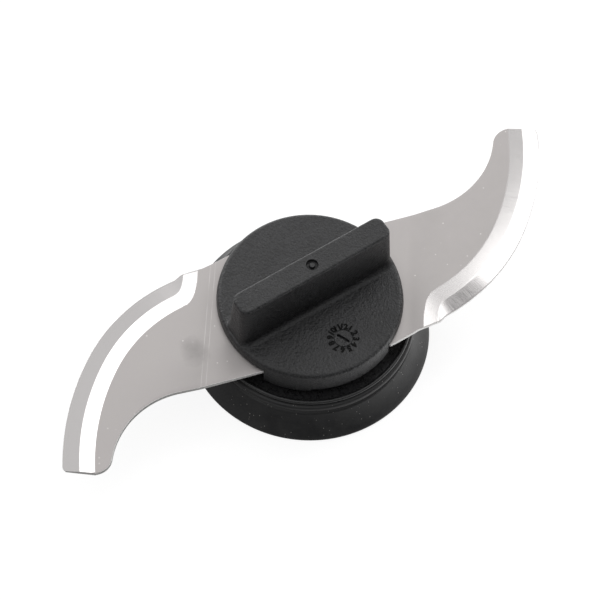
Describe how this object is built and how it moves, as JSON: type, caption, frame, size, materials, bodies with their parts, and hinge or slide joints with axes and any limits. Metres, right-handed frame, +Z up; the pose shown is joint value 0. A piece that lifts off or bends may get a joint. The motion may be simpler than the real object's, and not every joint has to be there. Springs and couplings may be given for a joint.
{
  "type": "food processor blade",
  "caption": "S-shaped steel chopping blade with ground edges, clamped between a round plastic grip cap and a hub with a flexible lip seal and a hexagon drive socket.",
  "frame": {"origin": "centre of the seal's rim, on the plane that the unit stands on", "axes": "+Z up along the axis that the unit turns about; +X along the reach of the two wings, with the left wing towards -X and -Y"},
  "size_m": [0.1236, 0.1122, 0.0377],
  "materials": {
    "cap_plastic": "black plastic with a fine spark-eroded grain",
    "blade_steel": "satin rolled stainless steel, ground and polished along the cutting edge",
    "hub_plastic": "black plastic, smooth matt",
    "seal_rubber": "black matt rubber with a little light dust",
    "ring_plastic": "black plastic, smooth matt",
    "bush_steel": "turned steel",
    "screw_steel": "plain stainless steel"
  },
  "bodies": {
    "root": {"grip_cap": "cap_plastic", "blade": "blade_steel", "hub": "hub_plastic", "lip_seal": "seal_rubber", "retaining_ring": "ring_plastic", "drive_bush": "bush_steel", "screw_1": "screw_steel", "screw_2": "screw_steel", "washer_1": "screw_steel", "washer_2": "screw_steel"}
  },
  "joints": []
}
